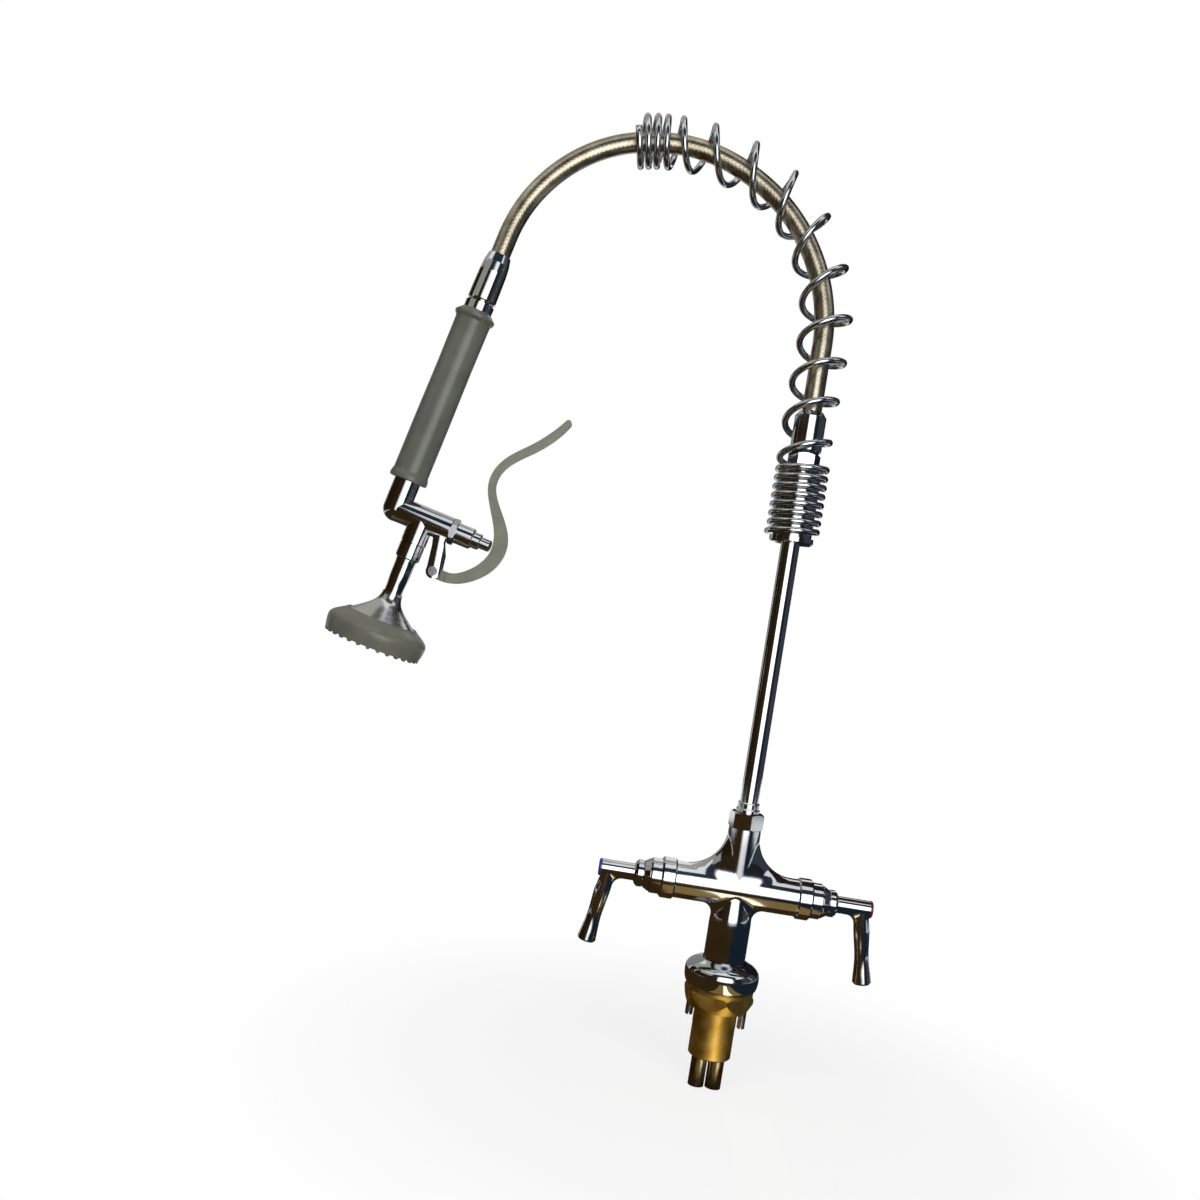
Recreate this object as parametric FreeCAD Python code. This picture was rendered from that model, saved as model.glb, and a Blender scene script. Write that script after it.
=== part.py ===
import FreeCAD, Part
import math
import os

os.makedirs("parts", exist_ok=True)
V = FreeCAD.Vector

# All sizes are in millimetres. The origin is the middle of the flange's underside on the
# deck, +Z runs up the riser and +X along the valve arms to the hot handle.

# Clearances
RUNNING = 0.08          # radial, turning and sliding fits
LOOSE = 0.1             # radial, pieces that are fixed to each other
BODY_GAP = 0.3          # between faces of different moving bodies

# Deck fixing
SHANK_R = 16.2
SHANK_WALL = 2.3
SHANK_BOTTOM = -52.0
PILOT_R = 16.0          # plain end below the thread
PILOT_TOP = -28.5
SPIGOT_R = 14.4
SPIGOT_TOP = 16.0
FLANGE_R = 27.9
FLANGE_HEIGHT = 20.5
FLANGE_ROUND = 3.2      # how far the flange's lower edge is rounded in
GASKET_R = FLANGE_R - FLANGE_ROUND - 1.6
GASKET_THICK = 3.0
WASHER_THICK = 2.5
WASHER_R = 25.4
NUT_CORNER_R = 27.0
NUT_HEIGHT = 12.5
JACK_CIRCLE_R = 20.4
JACK_R = 2.9
JACK_ANGLE = -22.0
JACK_LENGTH = 24.0
TUBE_R = 6.0
TUBE_WALL = 0.9
TUBE_OFFSET = 6.4
TUBE_BOTTOM = -75.5
TUBE_TOP = 46.0
REAM_R = 5.3            # the tail's open end, reamed for a tube insert
REAM_DEPTH = 20.0

# Mixing body
BODY_BOTTOM = 4.0
ARM_Z = 74.4
BODY_NECK_R = 15.6
ARM_R = 13.8
ARM_END = 46.0
ARM_BORE_R = 9.8
ARM_BORE_START = 12.0
PORT_R = 3.5
NECK_R = 12.2
NECK_TOP = 120.0
NECK_THREAD_R = 10.6
NECK_THREAD_TOP = 129.0
CHAMBER_R = 8.0
CHAMBER_BOTTOM = 66.0
RISER_SEAT_Z = 97.0
TUBE_SEAT_Z = 30.0
RISE_DRILL_R = 3.2
RISE_DRILL_X = 12.2
LOWER_FILLET = 8.0      # sweep of the arms into the upright, under them
UPPER_FILLET = 28.0     # and over them

# Valve arms, measured outward from the riser axis
BONNET_RING_R = 15.3
BONNET_RING_END = 57.0
BONNET_STEP_R = 13.2
BONNET_STEP_END = 65.4
BONNET_CONE_R = 9.8
BONNET_END = 69.5
CARTRIDGE_START = 26.0
CARTRIDGE_END = 60.0
SEAL_START = 22.0
SPINDLE_R = 5.0
SPINDLE_START = 40.3
SPINDLE_SHOULDER = 74.0
SPLINE_R = 4.0
SPLINE_END = 84.0
SKIRT_R = 10.0
SKIRT_LENGTH = 6.8
HUB_R = 6.3
HUB_END = 101.5
SCREW_R = 2.0
SCREW_START = 76.0
SCREW_HEAD_R = 3.5
SCREW_HEAD_START = 96.0
SCREW_HEAD = 3.0
INDEX_R = 6.4
INDEX_THICK = 2.1
LEVER_X = 95.8
LEVER_LEAN = 9.0
LEVER_LENGTH = 56.5
LEVER_ROOT_R = 6.0
LEVER_WAIST_R = 5.3
LEVER_TIP_R = 7.0
LEVER_FILLET = 7.0      # sweep from the hub into the lever
LEVER_STRAIGHT = HUB_R + LEVER_FILLET + 3.7  # plain length under the hub's axis

# Riser
RISER_R = 7.1
RISER_WALL = 1.1
RISER_BOTTOM = 98.0
RISER_TOP = 402.0
UNION_FLATS = 23.0
UNION_TOP = 132.0
UNION_TURN = -20.0      # how the nut's flats stand after tightening
COLLAR_R = 8.2
COLLAR_HEIGHT = 7.7
TAIL_RING_R = 8.4
TAIL_RING_HEIGHT = 5.0
O_RING_Z = 108.0
HOLDER_FLANGE_R = 16.5
HOLDER_BOTTOM = 335.8
HOLDER_FLANGE = 5.0
HOLDER_R = 14.7
HOLDER_TOP = 388.0

# Spring, turn by turn from the foot
WIRE_R = 2.5
SPRING_R = 17.75
FOOT_TURNS = 8.0
FOOT_PITCH = 6.7
HEAD_TURNS = 3.25
HEAD_PITCH = 7.0
HEAD_SHIFT = 0.6
HEAD_TILT = -1.5
LEAN_SHARE = 0.2        # how far open turns lean up at the front, as a share of their opening
# Open turns as (pitch along the hose, shift outward off the hose's centre line, rise of the outer side)
OPEN_TURNS = [
    (32.4, -1.0, 1.3), (29.4, -0.5, 1.4), (30.0, 0.2, 1.0), (32.2, 1.0, 0.2), (35.4, 2.6, 0.2),
    (33.0, 4.6, 1.8), (31.5, 4.6, 4.0), (31.5, 3.0, 4.2), (29.5, 1.2, 2.4), (17.0, 0.6, 0.0),
]
ARCS_PER_TURN = 4

# Hose and arch
HOSE_R = 7.5
HOSE_BORE_R = 5.0
ARCH_START_Z = 485.5
ARCH_R1 = 133.0
ARCH_R2 = 116.0
SPRAY_TILT = 13.2
HOSE_STRAIGHT = 14.8
HOSE_NUT_FLATS = 21.0
HOSE_NUT_BOTTOM = 390.0
HOSE_NUT_TOP = 404.0
HOSE_WASHER = 1.5
LOWER_FERRULE_R = 11.8
LOWER_FERRULE_LENGTH = 30.5
FERRULE_PLATE = 2.5

# Spray valve: u runs down the grip from the upper ferrule, v across to the lever
FERRULE_LENGTH = 37.0
FERRULE_SOCKET = FERRULE_LENGTH - 7.0
FERRULE_R = 10.9
SWIVEL_SPIGOT_R = 7.0
SWIVEL_SPIGOT_END = FERRULE_LENGTH + 7.0
ADAPTER_GAP = 1.2       # from the ferrule to the adapter that turns under it
ADAPTER_END = SWIVEL_SPIGOT_END + 1.0
ADAPTER_PLUG_END = ADAPTER_END + 12.0
GRIP_TUBE_R = 8.0
GRIP_TUBE_WALL = 1.5
GRIP_START = ADAPTER_END + 0.2
GRIP_LENGTH = 137.1
GRIP_END = GRIP_START + GRIP_LENGTH
GRIP_TUBE_END = GRIP_END + 7.7
GRIP_R = 13.5
GRIP_FLANGE_R = 15.4
GRIP_LIP_R = 14.6
ELBOW_R = 10.0
CROSS_R = 9.8
CROSS_U = GRIP_END + 22.2
CROSS_END = 44.0
CROSS_BORE_R = 6.0
SEAT_V = 13.0
SEAT_LENGTH = 4.0
SEAT_R = 4.0
OUTLET_V = 21.6
OUTLET_R = 9.6
OUTLET_END = CROSS_U + 19.5
OUTLET_BORE_R = 4.5
EAR_THICK = 3.0
EAR_GAP = 8.6
EAR_R = 5.6
EAR_ROUND_R = 9.6       # the ears' outer faces are parts of a round bar
PIVOT_U = CROSS_U + 33.0
PIVOT_V = 44.0
PIN_R = 2.0
PIN_HEAD_R = 3.6
PIN_HEAD = 1.4
BONNET_HEX_FLATS = 17.5
BONNET_HEX_END = 49.0
BONNET_BODY_R = 8.0
BONNET_BODY_END = 62.0
BONNET_TIP_R = 6.2
BONNET_TIP_END = 68.0
BONNET_PLUG_START = 38.0
PLUNGER_R = 4.5
PLUNGER_ROD_R = 2.2
PLUNGER_SHOULDER = 37.0
PLUNGER_ROD_START = 6.0
PLUNGER_END = 76.6
PLUNGER_O_RING_V = 55.0
VALVE_SEAL_R = 5.4
VALVE_SEAL = 5.0
RETURN_WIRE_R = 0.6
RETURN_R = 3.9
RETURN_TURNS = 6.0
LEVER_WIDTH = 12.0
LEVER_EYE_R = 4.6
OUTLET_NUT_R = 9.3
OUTLET_NUT_END = OUTLET_END + 13.0
STEM_TOP_R = 7.7
STEM_LOW_R = 6.8
STEM_LENGTH = 46.0
STEM_END = OUTLET_END + STEM_LENGTH
STEM_BORE_R = 3.6
BELL_TOP = STEM_END - 6.0
BELL_NECK_R = 7.6
BELL_RIM_R = 35.5
BELL_RIM_TOP = BELL_TOP + 28.5
BELL_RIM_END = BELL_RIM_TOP + 3.5
BELL_WALL = 1.8
FACE_THICK = 2.5
FACE_HOLE_R = 0.9
FACE_HOLE_COUNTS = [8, 14, 20]
FACE_RING_RADII = [10.0, 19.0, 28.0]
BUMPER_WALL = 2.9
BUMPER_R = BELL_RIM_R + BUMPER_WALL
BUMPER_END = BELL_RIM_END + 9.2
BUMPER_LIP_R = BELL_RIM_R - 9.0
FOOT_COUNT = 30         # small round feet under the bumper's edge
BUMPER_FOOT_R = 1.5

# Squeeze lever's centre line from its free tip to its eye, as (u below the cross bore's axis,
# v, half thickness)
LEVER_LINE = [
    (-107.5, 95.6, 2.3), (-93.1, 88.1, 2.8), (-79.6, 77.9, 2.8), (-67.3, 67.0, 2.7),
    (-55.3, 60.6, 2.6), (-43.5, 60.0, 2.6), (-32.5, 65.3, 3.0), (-23.0, 72.4, 3.8),
    (-14.0, 78.6, 4.6), (-4.5, 82.4, 5.1), (5.7, 82.6, 5.0), (17.0, 78.0, 4.7),
    (27.0, 69.0, 4.2), (32.8, 59.0, 3.9), (33.9, 50.0, 4.0), (33.0, PIVOT_V, 4.2),
]


def cylinder(radius, start, end):
    """A cylinder on the Z axis."""
    return Part.makeCylinder(radius, end - start, V(0, 0, start))


def tube(outer, inner, start, end):
    """A tube on the Z axis."""
    return cylinder(outer, start, end).cut(cylinder(inner, start - 1, end + 1))


def hexagon(flats, start, end):
    """A hexagonal bar on the Z axis with corners towards +X and -X."""
    corner = flats / math.sqrt(3)
    points = []
    for i in range(7):
        angle = math.radians(60 * i)
        points.append(V(corner * math.cos(angle), corner * math.sin(angle), start))
    return Part.Face(Part.makePolygon(points)).extrude(V(0, 0, end - start))


def chamfered_hexagon(flats, start, end):
    """A hexagonal bar whose corners are turned off at both ends."""
    corner = flats / math.sqrt(3)
    slope = (corner - flats / 2) * 0.6
    ends = [
        (0, start), (flats / 2, start), (corner + 0.01, start + slope),
        (corner + 0.01, end - slope), (flats / 2, end), (0, end),
    ]
    return hexagon(flats, start, end).common(turned(ends))


def turned(points):
    """Turn a closed outline of (radius, height) points about the Z axis."""
    outline = [V(r, 0, z) for r, z in points]
    face = Part.Face(Part.makePolygon(outline + [outline[0]]))
    return face.revolve(V(0, 0, 0), V(0, 0, 1), 360)


def turned_smooth(curve, corners):
    """Turn an outline of one smooth curve closed by straight lines through corners."""
    spline = Part.BSplineCurve()
    spline.interpolate([V(r, 0, z) for r, z in curve])
    points = [V(curve[-1][0], 0, curve[-1][1])]
    points += [V(r, 0, z) for r, z in corners]
    points.append(V(curve[0][0], 0, curve[0][1]))
    edges = [spline.toShape()]
    for a, b in zip(points[:-1], points[1:]):
        edges.append(Part.LineSegment(a, b).toShape())
    face = Part.Face(Part.Wire(edges))
    return face.revolve(V(0, 0, 0), V(0, 0, 1), 360)


def outward(shape):
    """Lay a shape built on the Z axis along the hot arm, its +X side facing down."""
    shape = shape.copy()
    shape.rotate(V(0, 0, 0), V(0, 1, 0), 90)
    shape.translate(V(0, 0, ARM_Z))
    return shape


def mirrored(shape):
    """The same piece for the cold arm."""
    return shape.mirror(V(0, 0, 0), V(1, 0, 0))


def arch_point(distance):
    """Centre of the arch and its tangent angle, at a distance counted from the deck."""
    quarter = ARCH_R1 * math.pi / 2
    if distance < ARCH_START_Z:
        return V(0, 0, distance), 0.0
    along = distance - ARCH_START_Z
    if along < quarter:
        angle = along / ARCH_R1
        x = -ARCH_R1 * (1 - math.cos(angle))
        return V(x, 0, ARCH_START_Z + ARCH_R1 * math.sin(angle)), angle
    turn = math.pi / 2 - math.radians(SPRAY_TILT)
    angle = math.pi / 2 + min((along - quarter) / ARCH_R2, turn)
    x = -ARCH_R1 + ARCH_R2 * math.cos(angle)
    z = ARCH_START_Z + ARCH_R1 - ARCH_R2 + ARCH_R2 * math.sin(angle)
    rest = max(along - quarter - ARCH_R2 * turn, 0.0)
    return V(x - rest * math.sin(angle), 0, z + rest * math.cos(angle)), angle


ARCH_LENGTH = ARCH_R1 * math.pi / 2 + ARCH_R2 * math.radians(90 - SPRAY_TILT) + HOSE_STRAIGHT
SPRAY_ORIGIN = arch_point(ARCH_START_Z + ARCH_LENGTH)[0]


def on_spray(shape, u=0.0, v=0.0):
    """Move a shape from spray axes, with X across and Z up the grip, to the object."""
    shape = shape.copy()
    shape.translate(V(v, 0, -u))
    shape.rotate(V(0, 0, 0), V(0, 1, 0), SPRAY_TILT)
    shape.translate(SPRAY_ORIGIN)
    return shape


def down(shape):
    """Turn a shape built on +Z so that its height counts down the grip."""
    shape = shape.copy()
    shape.rotate(V(0, 0, 0), V(1, 0, 0), 180)
    return shape


def across(shape):
    """Turn a shape built on +Z so that its height counts across to the lever."""
    shape = shape.copy()
    shape.rotate(V(0, 0, 0), V(0, 1, 0), 90)
    return shape


def half_arc(start, tangent, end):
    """One arc that leaves start along tangent and reaches end."""
    chord = end - start
    unit = V(chord).normalize()
    side = tangent - unit * tangent.dot(unit)
    if side.Length < 1e-6:
        return Part.LineSegment(start, end).toShape()
    half = tangent.getAngle(unit) / 2
    middle = start + chord * 0.5 + side.normalize() * (chord.Length / 2 * math.tan(half))
    return Part.Arc(start, middle, end).toShape()


def biarc(start, t0, end, t1):
    """Two arcs that join two points along the tangents given there."""
    span = end - start
    both = t0 + t1
    bend = 2 * (1 - t0.dot(t1))
    push = span.dot(both)
    reach = (-push + math.sqrt(push * push + bend * span.dot(span))) / bend
    joint = (start + end + (t0 - t1) * reach) * 0.5
    second = half_arc(end, t1 * -1, joint)
    return [half_arc(start, t0, joint), second]


def coil(point_at, turns, wire_r):
    """One wire round a path: arcs of a quarter turn with a straight run at each end."""
    count = int(round(turns * ARCS_PER_TURN))
    points = []
    tangents = []
    for i in range(count + 1):
        k = turns * i / count
        points.append(point_at(k))
        tangents.append((point_at(k + 0.001) - point_at(k - 0.001)).normalize())
    foot = points[0] - tangents[0] * (2 * wire_r)
    head = points[-1] + tangents[-1] * (2 * wire_r)
    edges = [Part.LineSegment(foot, points[0]).toShape()]
    for i in range(count):
        edges += biarc(points[i], tangents[i], points[i + 1], tangents[i + 1])
    edges.append(Part.LineSegment(points[-1], head).toShape())
    section = Part.Wire(Part.makeCircle(wire_r, foot, tangents[0]))
    return Part.Wire(edges).makePipeShell([section], True, False)


def least_gap(point_at, turns, wire_r):
    """Least distance between neighbouring turns of one wire, less its thickness."""
    steps = 48
    samples = [point_at(i / steps) for i in range(int(turns * steps) + 1)]
    best = 1e9
    for i in range(len(samples)):
        first = i + steps // 2
        last = min(len(samples), i + 2 * steps)
        for j in range(first, last):
            best = min(best, samples[i].distanceToPoint(samples[j]))
    return best - 2 * wire_r


def deck_flange():
    curve = [
        (FLANGE_R - FLANGE_ROUND, 0.0), (FLANGE_R - 0.4 * FLANGE_ROUND, 2.3),
        (FLANGE_R - 0.09 * FLANGE_ROUND, 5.8), (FLANGE_R, 9.6),
        (FLANGE_R - 0.6, 13.5), (FLANGE_R - 3.0, 16.6), (FLANGE_R - 7.1, 18.8),
        (SHANK_R + 0.9, FLANGE_HEIGHT),
    ]
    bore = SHANK_R + LOOSE
    corners = [(bore, FLANGE_HEIGHT), (bore, GASKET_THICK), (GASKET_R, GASKET_THICK), (GASKET_R, 0)]
    return turned_smooth(curve, corners)


def deck_gasket():
    return tube(GASKET_R, SHANK_R + LOOSE, 0, GASKET_THICK)


def shank():
    bore = SHANK_R - SHANK_WALL
    points = [
        (bore, SHANK_BOTTOM), (PILOT_R - 1, SHANK_BOTTOM), (PILOT_R, SHANK_BOTTOM + 1),
        (PILOT_R, PILOT_TOP), (SHANK_R, PILOT_TOP), (SHANK_R, BODY_BOTTOM),
        (SPIGOT_R, BODY_BOTTOM), (SPIGOT_R, SPIGOT_TOP), (bore, SPIGOT_TOP),
    ]
    return turned(points)


def clamp_washer():
    return tube(WASHER_R, SHANK_R + LOOSE, -WASHER_THICK, 0)


def jack_places():
    """Where the two screws go through the nut, under opposite corners."""
    places = []
    for turn in (0, 180):
        angle = math.radians(JACK_ANGLE + turn)
        places.append(V(JACK_CIRCLE_R * math.cos(angle), JACK_CIRCLE_R * math.sin(angle), 0))
    return places


def locknut():
    top = -WASHER_THICK
    bottom = top - NUT_HEIGHT
    nut = hexagon(NUT_CORNER_R * math.sqrt(3), bottom, top)
    nut.rotate(V(0, 0, 0), V(0, 0, 1), JACK_ANGLE)
    chamfer = [
        (0, bottom), (NUT_CORNER_R - 4.5, bottom), (NUT_CORNER_R, bottom + 8.5),
        (NUT_CORNER_R, top - 1.0), (NUT_CORNER_R - 1.5, top), (0, top),
    ]
    nut = nut.common(turned(chamfer)).cut(cylinder(SHANK_R + LOOSE, bottom - 1, top + 1))
    for place in jack_places():
        hole = cylinder(JACK_R + LOOSE, bottom - 1, top + 1)
        hole.translate(place)
        nut = nut.cut(hole)
    return nut


def jack_screws():
    top = -WASHER_THICK
    end = top - JACK_LENGTH
    screws = []
    for place in jack_places():
        screw = turned([(0, end), (JACK_R - 0.6, end), (JACK_R, end + 0.6), (JACK_R, top), (0, top)])
        screw = screw.cut(Part.makeBox(1.2, 10, 2.0, V(-0.6, -5, end)))
        screw.translate(place)
        screws.append(screw)
    return Part.makeCompound(screws)


def supply_tube():
    piece = tube(TUBE_R, TUBE_R - TUBE_WALL, TUBE_BOTTOM, TUBE_TOP)
    piece = piece.cut(cylinder(REAM_R, TUBE_BOTTOM - 1, TUBE_BOTTOM + REAM_DEPTH))
    piece.translate(V(TUBE_OFFSET, 0, 0))
    return piece


def body_upright():
    """The upright: wide at the deck, and slimmer than the arms where they cross it."""
    drop = BODY_NECK_R - NECK_R
    curve = [
        (BODY_NECK_R, ARM_Z - 30.0), (BODY_NECK_R - 0.18 * drop, ARM_Z - 18.0),
        (BODY_NECK_R - 0.66 * drop, ARM_Z - 6.0), (BODY_NECK_R - 0.84 * drop, ARM_Z + 4.0),
        (BODY_NECK_R - 0.93 * drop, ARM_Z + 16.0), (BODY_NECK_R - 0.98 * drop, ARM_Z + 30.0),
        (NECK_R, NECK_TOP),
    ]
    corners = [(0, NECK_TOP), (0, BODY_BOTTOM), (BODY_NECK_R, BODY_BOTTOM)]
    return turned_smooth(curve, corners)


def arm_joins(half, above):
    """The edge of the body's front half where the upright leaves the arms, over or under them."""
    found = []
    for edge in half.Edges:
        box = edge.BoundBox
        curved = edge.Curve.TypeId not in ("Part::GeomCircle", "Part::GeomLine")
        across = box.YLength > ARM_R / 2 and box.ZLength < ARM_R
        if curved and across and (edge.CenterOfMass.z > ARM_Z) == above:
            found.append(edge)
    return found


def mixing_body():
    arms = Part.makeCylinder(ARM_R, 2 * ARM_END, V(-ARM_END, 0, ARM_Z), V(1, 0, 0))
    front = Part.makeBox(4 * ARM_END, 2 * ARM_END, 2 * NECK_TOP, V(-2 * ARM_END, -2 * ARM_END, 0))
    half = body_upright().fuse(arms).common(front).removeSplitter()
    half = half.makeFillet(UPPER_FILLET, arm_joins(half, True))
    half = half.makeFillet(LOWER_FILLET, arm_joins(half, False))
    body = half.fuse(half.mirror(V(0, 0, 0), V(0, 1, 0))).removeSplitter()
    body = body.fuse(cylinder(NECK_THREAD_R, NECK_TOP, NECK_THREAD_TOP))
    waterways = [
        cylinder(SPIGOT_R + LOOSE, BODY_BOTTOM - 1, SPIGOT_TOP),
        cylinder(SHANK_R - SHANK_WALL, SPIGOT_TOP - 1, TUBE_SEAT_Z),
        cylinder(CHAMBER_R, CHAMBER_BOTTOM, RISER_SEAT_Z + 1),
        cylinder(TAIL_RING_R + BODY_GAP, RISER_SEAT_Z, NECK_THREAD_TOP + 1),
        Part.makeCylinder(PORT_R, 2 * ARM_BORE_START + 2, V(-ARM_BORE_START - 1, 0, ARM_Z), V(1, 0, 0)),
    ]
    for side in (-1, 1):
        arm = V(side, 0, 0)
        length = ARM_END - ARM_BORE_START + 1
        start = arm * ARM_BORE_START + V(0, 0, ARM_Z)
        waterways.append(Part.makeCylinder(ARM_BORE_R, length, start, arm))
        seat = cylinder(TUBE_R + LOOSE, TUBE_SEAT_Z - 1, TUBE_TOP)
        seat.translate(arm * TUBE_OFFSET)
        drill = cylinder(RISE_DRILL_R, TUBE_TOP - 2, ARM_Z - ARM_BORE_R + 4)
        drill.translate(arm * RISE_DRILL_X)
        waterways += [seat, drill]
    for way in waterways:
        body = body.cut(way)
    return body


def bonnet():
    bore = ARM_BORE_R
    spindle_bore = SPINDLE_R + RUNNING
    points = [
        (bore, ARM_END), (BONNET_RING_R - 1.2, ARM_END), (BONNET_RING_R, ARM_END + 1.2),
        (BONNET_RING_R, BONNET_RING_END - 1.6), (BONNET_RING_R - 1.6, BONNET_RING_END),
        (BONNET_STEP_R, BONNET_RING_END), (BONNET_STEP_R, BONNET_STEP_END - 1.6),
        (BONNET_STEP_R - 1.6, BONNET_STEP_END), (BONNET_CONE_R + 2.4, BONNET_STEP_END),
        (BONNET_CONE_R, BONNET_END), (spindle_bore, BONNET_END),
        (spindle_bore, CARTRIDGE_END), (bore, CARTRIDGE_END),
    ]
    return outward(turned(points))


def cartridge():
    body = cylinder(ARM_BORE_R - LOOSE, CARTRIDGE_START, CARTRIDGE_END)
    body = body.cut(cylinder(SPINDLE_R + RUNNING, SPINDLE_START - BODY_GAP, CARTRIDGE_END + 1))
    return outward(body.cut(cylinder(PORT_R, CARTRIDGE_START - 1, SPINDLE_START)))


def seat_seal():
    return outward(tube(ARM_BORE_R - LOOSE, SPINDLE_R, SEAL_START, CARTRIDGE_START))


def spindle():
    rod = cylinder(SPINDLE_R, SPINDLE_START, SPINDLE_SHOULDER)
    rod = rod.fuse(cylinder(SPLINE_R, SPINDLE_SHOULDER, SPLINE_END))
    return outward(rod.cut(cylinder(SCREW_R, SCREW_START, SPLINE_END + 1)))


def lever_rod():
    """The hanging lever, from the hub's axis down, turned on its own line."""
    tip = LEVER_LENGTH
    middle = (LEVER_STRAIGHT + tip) / 2
    curve = [
        (LEVER_ROOT_R, LEVER_STRAIGHT), (LEVER_ROOT_R - 0.3, LEVER_STRAIGHT + 7.0), (LEVER_WAIST_R, middle),
        (LEVER_TIP_R - 0.7, tip - 8.0), (LEVER_TIP_R, tip - 1.5),
    ]
    rod = turned_smooth(curve, [(LEVER_TIP_R - 1.2, tip), (0, tip), (0, 0), (LEVER_ROOT_R, 0)])
    rod.rotate(V(0, 0, 0), V(0, 1, 0), 90 - LEVER_LEAN)
    rod.translate(V(0, 0, LEVER_X))
    return rod


def hub_end_cut():
    """What is taken off past the hub's end, down to where the lever's plain side starts."""
    side = LEVER_X + LEVER_STRAIGHT * math.tan(math.radians(LEVER_LEAN)) + LEVER_ROOT_R
    far = HUB_END + 40
    points = [
        V(-20, -20, HUB_END), V(HUB_R + 0.7, -20, HUB_END), V(LEVER_STRAIGHT, -20, side),
        V(LEVER_STRAIGHT, -20, far), V(-20, -20, far), V(-20, -20, HUB_END),
    ]
    return Part.Face(Part.makePolygon(points)).extrude(V(0, 40, 0))


def handle():
    start = BONNET_END + BODY_GAP
    skirt_end = start + SKIRT_LENGTH
    skirt = turned([
        (0, start), (SKIRT_R - 0.8, start), (SKIRT_R, start + 0.8), (SKIRT_R, skirt_end - 2.4),
        (SKIRT_R - 1.6, skirt_end - 0.6), (HUB_R, skirt_end + 0.4), (0, skirt_end + 0.4),
    ])
    bar = cylinder(HUB_R, skirt_end, HUB_END + 3 * LEVER_FILLET)
    grip = bar.fuse(lever_rod()).removeSplitter()
    plain = ("Part::GeomCircle", "Part::GeomLine")
    joins = [e for e in grip.Edges if e.Curve.TypeId not in plain and e.CenterOfMass.x < LEVER_STRAIGHT]
    grip = grip.makeFillet(LEVER_FILLET, joins).cut(hub_end_cut())
    grip = grip.fuse(skirt).removeSplitter()
    grip = grip.cut(cylinder(SPINDLE_R + LOOSE, start - 1, SPINDLE_SHOULDER))
    grip = grip.cut(cylinder(SPLINE_R + LOOSE, start, SPLINE_END))
    grip = grip.cut(cylinder(SCREW_R + LOOSE, SPLINE_END - 1, SCREW_HEAD_START + 1))
    return outward(grip.cut(cylinder(SCREW_HEAD_R + LOOSE, SCREW_HEAD_START, HUB_END + 1)))


def handle_screw():
    shaft = cylinder(SCREW_R, SCREW_START, SCREW_HEAD_START)
    head = cylinder(SCREW_HEAD_R, SCREW_HEAD_START, SCREW_HEAD_START + SCREW_HEAD)
    slot = Part.makeBox(1.0, 10, 1.2, V(-0.5, -5, SCREW_HEAD_START + SCREW_HEAD - 1.2))
    return outward(shaft.fuse(head).cut(slot))


def index_button():
    face = turned([
        (0, HUB_END), (INDEX_R, HUB_END), (INDEX_R, HUB_END + INDEX_THICK - 0.6),
        (INDEX_R - 0.8, HUB_END + INDEX_THICK), (0, HUB_END + INDEX_THICK),
    ])
    return outward(face.fuse(cylinder(SCREW_HEAD_R, SCREW_HEAD_START + SCREW_HEAD, HUB_END)))


def union_nut():
    nut = chamfered_hexagon(UNION_FLATS, NECK_TOP, UNION_TOP)
    nut.rotate(V(0, 0, 0), V(0, 0, 1), UNION_TURN)
    nut = nut.cut(cylinder(NECK_THREAD_R + LOOSE, NECK_TOP - 1, NECK_THREAD_TOP + BODY_GAP))
    return nut.cut(cylinder(RISER_R + RUNNING, NECK_TOP, UNION_TOP + 1))


def riser_tube():
    return tube(RISER_R, RISER_R - RISER_WALL, RISER_BOTTOM, RISER_TOP)


def riser_collar():
    start = UNION_TOP + BODY_GAP
    top = UNION_TOP + COLLAR_HEIGHT
    return turned([
        (RISER_R, start), (COLLAR_R + 0.8, start), (COLLAR_R + 0.8, start + 2.0), (COLLAR_R, start + 3.0),
        (COLLAR_R, top - 0.8), (COLLAR_R - 0.6, top), (RISER_R, top),
    ])


def riser_tail_ring():
    return tube(TAIL_RING_R, RISER_R, NECK_THREAD_TOP - TAIL_RING_HEIGHT, NECK_THREAD_TOP)


def riser_o_ring():
    outer = TAIL_RING_R + BODY_GAP - 0.05
    section = (outer - RISER_R) / 2
    return Part.makeTorus(RISER_R + section, section, V(0, 0, O_RING_Z))


def spring_holder():
    top = HOLDER_BOTTOM + HOLDER_FLANGE
    bore = RISER_R + LOOSE
    return turned([
        (bore, HOLDER_BOTTOM), (HOLDER_FLANGE_R - 1.5, HOLDER_BOTTOM),
        (HOLDER_FLANGE_R, HOLDER_BOTTOM + 1.5), (HOLDER_FLANGE_R, top), (HOLDER_R, top),
        (HOLDER_R, HOLDER_TOP - 3), (HOLDER_R - 3, HOLDER_TOP), (bore, HOLDER_TOP),
    ])


def spring_runs():
    """The spring as runs of (turns, pitch, shift, tilt) from its foot to its head."""
    runs = [(FOOT_TURNS, FOOT_PITCH, 0.0, 0.0)]
    for pitch, shift, tilt in OPEN_TURNS:
        runs.append((1.0, pitch, shift, tilt))
    runs.append((HEAD_TURNS, HEAD_PITCH, HEAD_SHIFT, HEAD_TILT))
    return runs


SPRING_RUNS = spring_runs()
SPRING_TURNS = sum(run[0] for run in SPRING_RUNS)


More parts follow.
